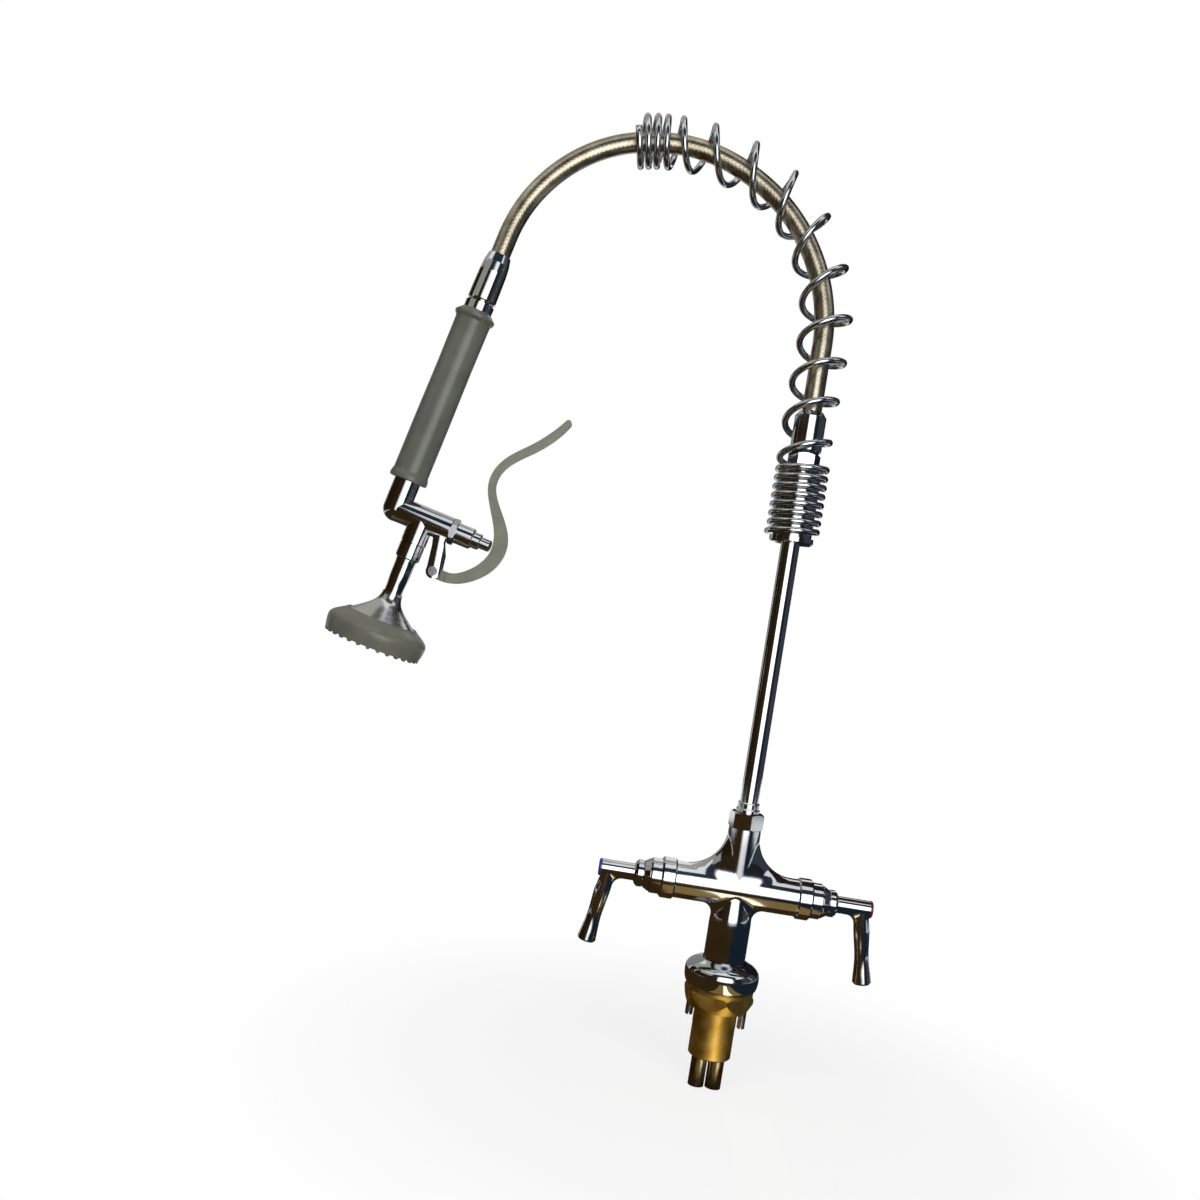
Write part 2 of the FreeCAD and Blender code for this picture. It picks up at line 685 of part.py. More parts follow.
def run_values(k):
    """Distance along the hose, shift and tilt at turn k, straight on past both ends."""
    distance = HOLDER_BOTTOM + HOLDER_FLANGE + WIRE_R + 0.4
    first = 0.0
    for turns, pitch, shift, tilt in SPRING_RUNS:
        if k <= first + turns or first + turns == SPRING_TURNS:
            return distance + (k - first) * pitch, shift, tilt
        distance += turns * pitch
        first += turns


def smooth_values(k):
    """The same values averaged over one turn, so that they change gently."""
    samples = 20
    totals = [0.0, 0.0, 0.0]
    for i in range(samples):
        for n, value in enumerate(run_values(k + (i + 0.5) / samples - 0.5)):
            totals[n] += value / samples
    return totals


def spring_point(k):
    """A point of the overhead spring's wire after k turns, starting on the side of the bend."""
    turn = 2 * math.pi * k
    distance, shift, tilt = smooth_values(k)
    opening = smooth_values(k + 0.5)[0] - smooth_values(k - 0.5)[0] - FOOT_PITCH
    lean = LEAN_SHARE * opening * math.sin(turn) - tilt * math.cos(turn)
    centre, angle = arch_point(distance + lean)
    inner = V(-math.cos(angle), 0, -math.sin(angle))
    forward = V(0, -1, 0)
    return centre + inner * (SPRING_R * math.cos(turn) - shift) + forward * (SPRING_R * math.sin(turn))


def return_point(k):
    """A point of the return spring's wire after k turns, in spray axes."""
    first = SEAT_V + SEAT_LENGTH + RETURN_WIRE_R + 0.2
    last = PLUNGER_SHOULDER - RETURN_WIRE_R - 0.2
    turn = 2 * math.pi * k
    v = first + (last - first) * k / RETURN_TURNS
    return V(v, RETURN_R * math.cos(turn), RETURN_R * math.sin(turn))


def hose_path(start, extra):
    """The hose's centre line: a straight rise, two tangent arcs and a straight end."""
    quarter = ARCH_START_Z + ARCH_R1 * math.pi / 2
    end = ARCH_START_Z + ARCH_LENGTH
    stops = [ARCH_START_Z, quarter, end - HOSE_STRAIGHT]
    places = [arch_point(s)[0] for s in stops]
    first = Part.Arc(places[0], arch_point((stops[0] + stops[1]) / 2)[0], places[1])
    second = Part.Arc(places[1], arch_point((stops[1] + stops[2]) / 2)[0], places[2])
    tail = arch_point(end + extra)[0]
    edges = [
        Part.LineSegment(V(0, 0, start), places[0]).toShape(), first.toShape(),
        second.toShape(), Part.LineSegment(places[2], tail).toShape(),
    ]
    return Part.Wire(edges)


def hose():
    start = HOSE_NUT_TOP + HOSE_WASHER + FERRULE_PLATE
    line = hose_path(start, FERRULE_SOCKET)
    solids = []
    for radius in (HOSE_R, HOSE_BORE_R):
        ring = Part.Wire(Part.makeCircle(radius, V(0, 0, start), V(0, 0, 1)))
        solids.append(line.makePipeShell([ring], True, False))
    piece = solids[0].cut(solids[1])
    section = math.pi * (HOSE_R ** 2 - HOSE_BORE_R ** 2)
    print("hose volume over section times length", piece.Volume / (section * line.Length))
    print("hose length", line.Length, "radii", ARCH_R1, ARCH_R2)
    return piece


def hose_nut():
    nut = chamfered_hexagon(HOSE_NUT_FLATS, HOSE_NUT_BOTTOM, HOSE_NUT_TOP)
    return nut.cut(cylinder(RISER_R + LOOSE, HOSE_NUT_BOTTOM - 1, HOSE_NUT_TOP + 1))


def hose_washer():
    return tube(HOSE_NUT_FLATS / 2 - 0.5, HOSE_BORE_R, HOSE_NUT_TOP, HOSE_NUT_TOP + HOSE_WASHER)


def hose_lower_ferrule():
    start = HOSE_NUT_TOP + HOSE_WASHER
    plate = start + FERRULE_PLATE
    bore = HOSE_R + LOOSE
    top = start + LOWER_FERRULE_LENGTH
    return turned([
        (HOSE_BORE_R, start), (LOWER_FERRULE_R - 1, start), (LOWER_FERRULE_R, start + 1),
        (LOWER_FERRULE_R, top - 4), (bore + 1.2, top), (bore, top), (bore, plate), (HOSE_BORE_R, plate),
    ])


def hose_upper_ferrule():
    bore = HOSE_R + LOOSE
    return on_spray(down(turned([
        (bore, 0), (bore + 1.0, 0), (FERRULE_R - 1.0, 6.5), (FERRULE_R - 0.4, FERRULE_LENGTH - 23),
        (FERRULE_R, FERRULE_LENGTH - 1), (FERRULE_R - 0.8, FERRULE_LENGTH),
        (SWIVEL_SPIGOT_R, FERRULE_LENGTH), (SWIVEL_SPIGOT_R, SWIVEL_SPIGOT_END),
        (HOSE_BORE_R, SWIVEL_SPIGOT_END), (HOSE_BORE_R, FERRULE_SOCKET), (bore, FERRULE_SOCKET),
    ])))


def handle_adapter():
    start = FERRULE_LENGTH + ADAPTER_GAP
    socket = SWIVEL_SPIGOT_R + RUNNING
    floor = SWIVEL_SPIGOT_END + BODY_GAP
    plug = GRIP_TUBE_R - GRIP_TUBE_WALL - LOOSE
    return on_spray(down(turned([
        (socket, start), (FERRULE_R - 0.8, start), (FERRULE_R, start + 0.8), (FERRULE_R, ADAPTER_END),
        (plug, ADAPTER_END), (plug, ADAPTER_PLUG_END), (HOSE_BORE_R, ADAPTER_PLUG_END),
        (HOSE_BORE_R, floor), (socket, floor),
    ])))


def grip_tube():
    inner = GRIP_TUBE_R - GRIP_TUBE_WALL
    return on_spray(down(tube(GRIP_TUBE_R, inner, ADAPTER_END, GRIP_TUBE_END)))


def grip():
    bore = GRIP_TUBE_R + LOOSE
    third = (GRIP_END - GRIP_START) / 3
    return on_spray(down(turned([
        (bore, GRIP_START), (FERRULE_R + 0.8, GRIP_START), (GRIP_FLANGE_R, GRIP_START + 3.6),
        (GRIP_FLANGE_R, GRIP_START + 5.4), (GRIP_R, GRIP_START + 8.0), (GRIP_R - 0.3, GRIP_START + third),
        (GRIP_R, GRIP_END - third), (GRIP_R, GRIP_END - 7.0), (GRIP_LIP_R, GRIP_END - 3.4),
        (GRIP_LIP_R, GRIP_END - 0.8), (GRIP_LIP_R - 0.8, GRIP_END), (bore, GRIP_END),
    ])))


def ear_plate(start_y):
    """One of the two ears that hold the lever's pin, in spray axes."""
    root = CROSS_U + 1.5
    front = CROSS_END - 0.8
    hex_clear = CROSS_U + BONNET_HEX_FLATS / math.sqrt(3) + 0.6
    outline = [
        (root, front - 11.0), (root, front), (hex_clear, front), (PIVOT_U - 13.5, PIVOT_V + 3.4),
        (PIVOT_U - 1.0, PIVOT_V + EAR_R - 0.2), (PIVOT_U, PIVOT_V),
        (PIVOT_U - 1.0, PIVOT_V - EAR_R + 0.2), (PIVOT_U - 17.5, PIVOT_V - 8.0),
    ]
    points = [V(v, start_y, -u) for u, v in outline]
    plate = Part.Face(Part.makePolygon(points + [points[0]])).extrude(V(0, EAR_THICK, 0))
    eye = Part.makeCylinder(EAR_R, EAR_THICK, V(PIVOT_V, start_y, -PIVOT_U), V(0, 1, 0))
    crest = EAR_GAP / 2 + EAR_THICK - EAR_ROUND_R
    if start_y < 0:
        crest = -crest
    top = V(PIVOT_V - 6.5, crest, -CROSS_U)
    line = V(PIVOT_V, crest, -PIVOT_U) - top
    return plate.fuse(eye).common(Part.makeCylinder(EAR_ROUND_R, line.Length + 10, top, line))


def valve_body():
    elbow = down(cylinder(ELBOW_R, GRIP_END + 0.2, CROSS_U))
    corner = Part.makeSphere(ELBOW_R, V(0, 0, -CROSS_U))
    cross = Part.makeCylinder(CROSS_R, CROSS_END, V(0, 0, -CROSS_U), V(1, 0, 0))
    branch = Part.makeCylinder(OUTLET_R, OUTLET_END - CROSS_U, V(OUTLET_V, 0, -CROSS_U), V(0, 0, -1))
    body = elbow.fuse([corner, cross, branch])
    body = body.fuse([ear_plate(EAR_GAP / 2), ear_plate(-EAR_GAP / 2 - EAR_THICK)]).removeSplitter()
    ways = [
        down(cylinder(GRIP_TUBE_R + LOOSE, GRIP_END - 1, GRIP_TUBE_END)),
        down(cylinder(GRIP_TUBE_R - GRIP_TUBE_WALL, GRIP_TUBE_END - 1, CROSS_U)),
        Part.makeCylinder(CROSS_BORE_R, SEAT_V + 1, V(-1, 0, -CROSS_U), V(1, 0, 0)),
        Part.makeCylinder(SEAT_R, SEAT_LENGTH + 2, V(SEAT_V - 1, 0, -CROSS_U), V(1, 0, 0)),
        Part.makeCylinder(CROSS_BORE_R, CROSS_END, V(SEAT_V + SEAT_LENGTH, 0, -CROSS_U), V(1, 0, 0)),
        Part.makeCylinder(OUTLET_BORE_R, 40, V(OUTLET_V, 0, -CROSS_U), V(0, 0, -1)),
        Part.makeCylinder(PIN_R, 40, V(PIVOT_V, -20, -PIVOT_U), V(0, 1, 0)),
    ]
    for way in ways:
        body = body.cut(way)
    return on_spray(body)


def valve_bonnet():
    bore = PLUNGER_R + RUNNING
    groove = bore + 0.9
    plug = CROSS_BORE_R - LOOSE
    shell = turned([
        (bore, BONNET_PLUG_START), (plug, BONNET_PLUG_START), (plug, CROSS_END),
        (BONNET_BODY_R, CROSS_END), (BONNET_BODY_R, BONNET_BODY_END - 1),
        (BONNET_BODY_R - 1, BONNET_BODY_END),
        (BONNET_TIP_R, BONNET_BODY_END), (BONNET_TIP_R, BONNET_TIP_END - 0.8),
        (BONNET_TIP_R - 0.8, BONNET_TIP_END), (bore, BONNET_TIP_END),
    ])
    collar = chamfered_hexagon(BONNET_HEX_FLATS, CROSS_END, BONNET_HEX_END)
    shell = shell.fuse(collar.cut(cylinder(BONNET_BODY_R - 1, CROSS_END - 1, BONNET_HEX_END + 1)))
    shell = shell.cut(cylinder(groove, PLUNGER_O_RING_V, PLUNGER_O_RING_V + 2))
    return on_spray(across(shell), CROSS_U)


def plunger_o_ring():
    inner = PLUNGER_R + RUNNING / 2
    ring = tube(PLUNGER_R + RUNNING + 0.85, inner, PLUNGER_O_RING_V + 0.1, PLUNGER_O_RING_V + 1.9)
    return on_spray(across(ring), CROSS_U)


def plunger():
    rod = cylinder(PLUNGER_ROD_R, PLUNGER_ROD_START, PLUNGER_SHOULDER)
    piston = turned([
        (0, PLUNGER_SHOULDER), (PLUNGER_R, PLUNGER_SHOULDER), (PLUNGER_R, PLUNGER_END - 1.6),
        (PLUNGER_R - 0.6, PLUNGER_END - 0.6), (PLUNGER_R - 2.0, PLUNGER_END), (0, PLUNGER_END),
    ])
    return on_spray(across(rod.fuse(piston)), CROSS_U)


def valve_seal():
    end = SEAT_V - 0.05
    return on_spray(across(tube(VALVE_SEAL_R, PLUNGER_ROD_R, end - VALVE_SEAL, end)), CROSS_U)


def return_spring():
    return on_spray(coil(return_point, RETURN_TURNS, RETURN_WIRE_R), CROSS_U)


def lever_side(sign):
    """One long side of the squeeze lever, a smooth curve in spray axes."""
    points = []
    for i in range(len(LEVER_LINE)):
        before = LEVER_LINE[max(i - 1, 0)]
        after = LEVER_LINE[min(i + 1, len(LEVER_LINE) - 1)]
        du = after[0] - before[0]
        dv = after[1] - before[1]
        size = math.hypot(du, dv)
        u, v, half = LEVER_LINE[i]
        u += CROSS_U - sign * half * dv / size
        points.append(V(v + sign * half * du / size, 0, -u))
    curve = Part.BSplineCurve()
    curve.interpolate(points)
    return curve


def squeeze_lever():
    outer = lever_side(1)
    inner = lever_side(-1)
    first, second = LEVER_LINE[0], LEVER_LINE[1]
    size = math.hypot(first[0] - second[0], first[1] - second[1])
    nose_u = CROSS_U + first[0] + (first[0] - second[0]) / size * first[2]
    nose_v = first[1] + (first[1] - second[1]) / size * first[2]
    tip = Part.Arc(inner.StartPoint, V(nose_v, 0, -nose_u), outer.StartPoint)
    end = Part.LineSegment(outer.EndPoint, inner.EndPoint)
    face = Part.Face(Part.Wire([inner.toShape(), tip.toShape(), outer.toShape(), end.toShape()]))
    strip = face.extrude(V(0, LEVER_WIDTH, 0))
    strip.translate(V(0, -LEVER_WIDTH / 2, 0))
    eye_start = V(PIVOT_V, -LEVER_WIDTH / 2, -PIVOT_U)
    strip = strip.fuse(Part.makeCylinder(LEVER_EYE_R, LEVER_WIDTH, eye_start, V(0, 1, 0)))
    half = EAR_GAP / 2 - BODY_GAP
    for start_y in (half, -half - LEVER_WIDTH):
        pocket = Part.makeBox(16, LEVER_WIDTH, 30, V(PIVOT_V - 5.5, start_y, -PIVOT_U - 12))
        strip = strip.cut(pocket)
    strip = strip.cut(Part.makeCylinder(PIN_R + RUNNING, 40, V(PIVOT_V, -20, -PIVOT_U), V(0, 1, 0)))
    return on_spray(strip)


def lever_pin():
    length = EAR_GAP + 2 * EAR_THICK
    pin = cylinder(PIN_R, -length / 2, length / 2)
    for sign in (-1, 1):
        head = cylinder(PIN_HEAD_R, length / 2, length / 2 + PIN_HEAD)
        if sign < 0:
            head = cylinder(PIN_HEAD_R, -length / 2 - PIN_HEAD, -length / 2)
        pin = pin.fuse(head)
    pin.rotate(V(0, 0, 0), V(1, 0, 0), 90)
    return on_spray(pin, PIVOT_U, PIVOT_V)


def outlet_nut():
    bore = STEM_TOP_R + LOOSE
    return on_spray(down(turned([
        (bore, OUTLET_END), (OUTLET_NUT_R - 0.8, OUTLET_END), (OUTLET_NUT_R, OUTLET_END + 0.8),
        (OUTLET_NUT_R, OUTLET_NUT_END - 1.2), (OUTLET_NUT_R - 1.2, OUTLET_NUT_END), (bore, OUTLET_NUT_END),
    ])), 0, OUTLET_V)


def outlet_stem():
    curve = [
        (STEM_TOP_R, OUTLET_NUT_END + 0.5), (STEM_TOP_R - 0.3, OUTLET_NUT_END + 6.0),
        (STEM_LOW_R + 0.5, BELL_TOP - 12.0), (STEM_LOW_R, BELL_TOP - 4.0), (STEM_LOW_R, BELL_TOP),
    ]
    corners = [
        (STEM_LOW_R, STEM_END), (STEM_BORE_R, STEM_END), (STEM_BORE_R, OUTLET_END),
        (STEM_TOP_R, OUTLET_END),
    ]
    return on_spray(down(turned_smooth(curve, corners)), 0, OUTLET_V)


def bell_line(radius):
    """Height of the bell's straight lower flank at a radius."""
    top_r, top_u = 20.0, BELL_TOP + 17.2
    return top_u + (BELL_RIM_TOP - top_u) * (radius - top_r) / (BELL_RIM_R - top_r)


def spray_bell():
    bore = STEM_LOW_R + LOOSE
    curve = [
        (BELL_NECK_R, BELL_TOP), (BELL_NECK_R + 0.3, BELL_TOP + 3.0), (9.6, BELL_TOP + 7.4),
        (14.0, BELL_TOP + 12.4), (20.0, bell_line(20.0)),
    ]
    rim_in = BELL_RIM_R - BELL_WALL
    corners = [
        (BELL_RIM_R, BELL_RIM_TOP), (BELL_RIM_R, BELL_RIM_END), (rim_in, BELL_RIM_END),
        (rim_in, BELL_RIM_TOP + 1.1),
        (18.0, bell_line(18.0) + 2.6), (9.0, STEM_END + 3.6), (bore, STEM_END + 3.6), (bore, BELL_TOP),
    ]
    return on_spray(down(turned_smooth(curve, corners)), 0, OUTLET_V)


def spray_face():
    face = cylinder(BELL_RIM_R, BELL_RIM_END, BELL_RIM_END + FACE_THICK)
    for count, radius in zip(FACE_HOLE_COUNTS, FACE_RING_RADII):
        for i in range(count):
            hole = cylinder(FACE_HOLE_R, BELL_RIM_END - 1, BELL_RIM_END + FACE_THICK + 1)
            angle = 2 * math.pi * i / count
            hole.translate(V(radius * math.cos(angle), radius * math.sin(angle), 0))
            face = face.cut(hole)
    return on_spray(down(face), 0, OUTLET_V)


def bumper():
    bore = BELL_RIM_R + 0.02
    lip_u = bell_line(BUMPER_LIP_R)
    curve = [
        (BUMPER_LIP_R + 0.6, lip_u - 1.2), (BUMPER_LIP_R + 5.0, lip_u + 1.9),
        (BUMPER_R - 2.4, BELL_RIM_TOP - 1.6), (BUMPER_R - 0.3, BELL_RIM_TOP + 1.2),
        (BUMPER_R, BELL_RIM_END + 0.8), (BUMPER_R - 0.7, BUMPER_END - 3.5), (BUMPER_R - 1.4, BUMPER_END),
    ]
    seat = BELL_RIM_END + FACE_THICK + 0.02
    corners = [
        (bore - 0.9, BUMPER_END), (bore - 0.9, seat + 2.0), (bore - 1.4, seat), (bore, seat),
        (bore, BELL_RIM_TOP), (BUMPER_LIP_R, lip_u - 0.02),
    ]
    feet = []
    for i in range(FOOT_COUNT):
        start = V(bore - 0.8, 0, BUMPER_END)
        foot = Part.makeCylinder(BUMPER_FOOT_R, BUMPER_R - bore - 0.7, start, V(1, 0, 0))
        foot.rotate(V(0, 0, 0), V(0, 0, 1), 360 * i / FOOT_COUNT)
        feet.append(foot)
    ring = turned_smooth(curve, corners).fuse(feet)
    return on_spray(down(ring), 0, OUTLET_V)


def save(name, shape):
    """Write one piece and print what it is."""
    shape.exportStep("parts/" + name + ".step")
    print(name, "solids", len(shape.Solids), "valid", shape.isValid(), "volume", round(shape.Volume, 1))


PAIRED = [
    ("supply_tube", supply_tube), ("bonnet", bonnet), ("cartridge", cartridge), ("seat_seal", seat_seal),
    ("spindle", spindle), ("handle", handle), ("handle_screw", handle_screw), ("index", index_button),
]
for name, make in PAIRED:
    piece = make()
    save("hot_" + name, piece)
    save("cold_" + name, mirrored(piece))

SINGLE = [
    deck_flange, deck_gasket, shank, clamp_washer, locknut, jack_screws, mixing_body, union_nut,
    riser_tube, riser_collar, riser_tail_ring, riser_o_ring, spring_holder, hose_nut, hose_washer,
    hose_lower_ferrule, hose, hose_upper_ferrule, handle_adapter, grip_tube, grip, valve_body,
    valve_bonnet, plunger_o_ring, plunger, valve_seal, return_spring, squeeze_lever, lever_pin,
    outlet_nut, outlet_stem, spray_bell, spray_face, bumper,
]
for make in SINGLE:
    save(make.__name__, make())

save("overhead_spring", coil(spring_point, SPRING_TURNS, WIRE_R))
print("overhead spring least gap to itself", least_gap(spring_point, SPRING_TURNS, WIRE_R))
print("return spring least gap to itself", least_gap(return_point, RETURN_TURNS, RETURN_WIRE_R))
print("spray origin", SPRAY_ORIGIN)
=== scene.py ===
# %% [markdown]
# # A deck-mount faucet with a sprung spray hose
# The solids of the faucet come ready made and fixed in place. This lesson gives every surface
# its finish, replaces the hose and the spring with fuller shapes, and sets up a white studio
# with the camera of the product photograph. All lengths are metres.

# %% Load the solids
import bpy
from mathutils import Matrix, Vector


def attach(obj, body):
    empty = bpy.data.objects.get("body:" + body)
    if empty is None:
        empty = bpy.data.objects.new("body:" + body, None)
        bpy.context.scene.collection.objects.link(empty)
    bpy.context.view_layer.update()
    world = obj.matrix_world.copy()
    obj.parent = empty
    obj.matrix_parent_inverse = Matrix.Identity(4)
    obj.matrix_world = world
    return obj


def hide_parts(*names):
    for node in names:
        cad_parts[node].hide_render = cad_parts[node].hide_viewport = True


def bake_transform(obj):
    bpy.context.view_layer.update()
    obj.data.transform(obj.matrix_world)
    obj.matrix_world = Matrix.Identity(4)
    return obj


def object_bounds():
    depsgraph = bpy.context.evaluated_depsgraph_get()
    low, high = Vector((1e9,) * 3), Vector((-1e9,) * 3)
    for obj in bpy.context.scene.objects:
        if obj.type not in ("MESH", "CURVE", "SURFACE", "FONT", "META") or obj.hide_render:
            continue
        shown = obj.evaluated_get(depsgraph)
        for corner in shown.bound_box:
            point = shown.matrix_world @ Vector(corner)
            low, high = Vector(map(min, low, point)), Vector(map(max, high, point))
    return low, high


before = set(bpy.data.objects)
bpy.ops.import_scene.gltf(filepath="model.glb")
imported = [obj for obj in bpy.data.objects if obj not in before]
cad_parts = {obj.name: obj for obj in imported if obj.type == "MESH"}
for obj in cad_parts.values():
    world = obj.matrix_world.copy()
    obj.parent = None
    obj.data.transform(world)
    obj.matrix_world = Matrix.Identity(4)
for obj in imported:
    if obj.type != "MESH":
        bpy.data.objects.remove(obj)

cad_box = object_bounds()
print("solids", len(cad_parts), "box", [tuple(round(c, 3) for c in p) for p in cad_box])

# %% [markdown]
# The photograph was taken from straight in front, a little to the left of the riser, and the
# faucet leans in the picture. A turn about the line of sight gives that lean: the camera is
# turned to look along Y and then leaned, so no aiming is needed.

# %% Camera
import bpy
import math
from mathutils import Matrix, Vector

CAMERA_PLACE = Vector((-0.1344, -0.920, 0.2717))
CAMERA_LEAN = math.radians(9.1)
SENSOR_MM = 36.0
LENS_MM = 36.8

lens = bpy.data.cameras.new("photo_camera")
lens.sensor_width = SENSOR_MM
lens.lens = LENS_MM
camera = bpy.data.objects.new("photo_camera", lens)
bpy.context.scene.collection.objects.link(camera)
bpy.context.scene.camera = camera
look_along_y = Matrix.Rotation(math.radians(90), 4, "X")
lean = Matrix.Rotation(-CAMERA_LEAN, 4, "Y")
camera.matrix_world = Matrix.Translation(CAMERA_PLACE) @ lean @ look_along_y
bpy.context.scene.view_settings.view_transform = "Standard"
print("camera at", tuple(camera.location))

# %% [markdown]
# Every finish is a small tree of shader nodes. One helper adds a node, sets its options and
# fills its sockets: a socket of another node is linked, anything else is a plain value.
# Colours are written as sRGB hex, as a paint chart would, and turned to linear light here.

# %% Helpers for finishes
def linear(hex_colour):
    """An sRGB hex colour as linear red, green, blue and alpha."""
    channels = [int(hex_colour[i:i + 2], 16) / 255 for i in (1, 3, 5)]
    curve = [c / 12.92 if c <= 0.04045 else ((c + 0.055) / 1.055) ** 2.4 for c in channels]
    return (*curve, 1.0)


def add(tree, kind, settings=None, sockets=None):
    """Add one node; a socket's value is a number, a colour or another node's output."""
    node = tree.nodes.new(kind)
    for name, value in (settings or {}).items():
        setattr(node, name, value)
    for name, value in (sockets or {}).items():
        if isinstance(value, bpy.types.NodeSocket):
            tree.links.new(value, node.inputs[name])
        else:
            node.inputs[name].default_value = value
    return node


def noise(tree, place, size_mm, detail=2.0):
    """Cloudy values from 0 to 1 whose features are this many millimetres across."""
    sockets = {"Vector": place, "Scale": 1000.0 / size_mm, "Detail": detail}
    return add(tree, "ShaderNodeTexNoise", None, sockets).outputs["Fac"]


def combine(tree, operation, first, second):
    """One step of arithmetic between two values."""
    sockets = {0: first, 1: second}
    return add(tree, "ShaderNodeMath", {"operation": operation}, sockets).outputs["Value"]


def band_scale(spacing):
    """Scale of a band texture whose stripes are this many millimetres apart."""
    return 1000.0 * math.pi / 10 / spacing


def new_finish(name):
    """An empty finish: its material, its node tree and the coordinates of the object."""
    material = bpy.data.materials.new(name)
    material.use_nodes = True
    tree = material.node_tree
    tree.nodes.clear()
    place = add(tree, "ShaderNodeTexCoord").outputs["Object"]
    return material, tree, place


def close_finish(tree, shader):
    """Send a shader to the material's surface."""
    add(tree, "ShaderNodeOutputMaterial", None, {"Surface": shader.outputs[0]})


def two_tones(tree, factor, first, second, low=0.35, high=0.65):
    """A colour that goes from one hex tone to another as a factor rises."""
    ramp = add(tree, "ShaderNodeValToRGB", None, {"Fac": factor})
    for element, tone, at in zip(ramp.color_ramp.elements, (first, second), (low, high)):
        element.color = linear(tone)
        element.position = at
    return ramp.outputs["Color"]


def between(tree, factor, low, high):
    """A number between two ends as a factor goes from a quarter to three quarters."""
    ends = {"Value": factor, "From Min": 0.25, "From Max": 0.75, "To Min": low, "To Max": high}
    return add(tree, "ShaderNodeMapRange", None, ends).outputs["Result"]


def relief(tree, height, depth_mm, strength=1.0):
    """A bump of a real depth."""
    sizes = {"Height": height, "Distance": depth_mm / 1000, "Strength": strength}
    return add(tree, "ShaderNodeBump", None, sizes).outputs["Normal"]


print("helpers ready")

# %% [markdown]
# Chrome plate on brass is a mirror, so its look is mostly what it reflects. What tells it from
# a computer's perfect mirror is the polish: the buffing wheel leaves long faint waves, and
# handling leaves soft patches that are a little duller.

# %% Chrome plate
def polished_chrome(name, tone_a, tone_b, smooth, dull):
    """Buffed chrome plate: patches of 25 mm change the gloss, 3 mm waves bend reflections."""
    material, tree, place = new_finish(name)
    patches = noise(tree, place, 25, 3.0)
    waves = noise(tree, place, 3, 1.0)
    shader = add(tree, "ShaderNodeBsdfPrincipled", None, {
        "Base Color": two_tones(tree, patches, tone_a, tone_b),
        "Metallic": 1.0,
        "Roughness": between(tree, patches, smooth, dull),
        "Normal": relief(tree, waves, 0.02, 0.3),
    })
    close_finish(tree, shader)
    return material


chrome = polished_chrome("chrome_plated_brass_buffed", "#C6CACF", "#D6D9DC", 0.05, 0.12)
satin_chrome = polished_chrome("chrome_plated_brass_satin", "#CDD0D3", "#DADCDE", 0.16, 0.26)
print("made", chrome.name, satin_chrome.name)

# %% [markdown]
# The shank and its nut are turned from brass bar and left unplated. The tool leaves fine rings
# round the axis, which spread the highlight into a soft stripe, and bare brass darkens in
# patches. Real tool marks are about 0.1 mm apart; they are drawn at 0.7 mm so that they show.

# %% Turned brass
def turned_brass():
    """Bare brass with rings from the lathe across the Z axis."""
    material, tree, place = new_finish("brass_bar_turned")
    tone_patches = noise(tree, place, 12, 4.0)
    rings = add(tree, "ShaderNodeTexWave", {"bands_direction": "Z"}, {
        "Vector": place, "Scale": band_scale(0.7), "Distortion": 0.4, "Detail": 2.0,
    })
    shader = add(tree, "ShaderNodeBsdfPrincipled", None, {
        "Base Color": two_tones(tree, tone_patches, "#DDB04A", "#F3D47E"),
        "Metallic": 1.0,
        "Roughness": between(tree, tone_patches, 0.36, 0.46),
        "Normal": relief(tree, rings.outputs["Fac"], 0.02, 0.5),
    })
    close_finish(tree, shader)
    return material


brass = turned_brass()
print("made", brass.name)

# %% [markdown]
# The two inlet tails are drawn copper tube with a thin, warm coat of nickel, not buffed. The
# screws are zinc plated steel: greyer than chrome, with a cloudy crystal bloom.

# %% Dull metals
def clouded_metal(name, dark, light, smooth, dull, cloud_mm):
    """A metal with no polish, whose tone and gloss both change in clouds."""
    material, tree, place = new_finish(name)
    cloud = noise(tree, place, cloud_mm, 5.0)
    grit = noise(tree, place, 0.5)
    shader = add(tree, "ShaderNodeBsdfPrincipled", None, {
        "Base Color": two_tones(tree, cloud, dark, light),
        "Metallic": 1.0,
        "Roughness": between(tree, cloud, smooth, dull),
        "Normal": relief(tree, grit, 0.02, 0.4),
    })
    close_finish(tree, shader)
    return material


tail_plate = clouded_metal("copper_tube_nickel_plated", "#8E8A7C", "#B4B1A2", 0.14, 0.26, 8)
zinc = clouded_metal("steel_zinc_plated", "#7C7F83", "#A6A9AB", 0.28, 0.45, 4)
print("made", tail_plate.name, zinc.name)

# %% [markdown]
# Grip and bumper are moulded grey rubber. A mould is blasted, so the skin has a fine even
# grain, and it scatters light: a broad soft highlight and no mirror.

# %% Moulded rubber and plastics
def moulded(name, tone_a, tone_b, roughness, grain_mm, depth_mm):
    """A moulded skin with an even grain and slow changes of tone."""
    material, tree, place = new_finish(name)
    tone = noise(tree, place, 18, 4.0)
    grain = noise(tree, place, grain_mm)
    shader = add(tree, "ShaderNodeBsdfPrincipled", None, {
        "Base Color": two_tones(tree, tone, tone_a, tone_b),
        "Roughness": between(tree, grain, roughness - 0.06, roughness + 0.06),
        "Normal": relief(tree, grain, depth_mm, 0.5),
    })
    close_finish(tree, shader)
    return material


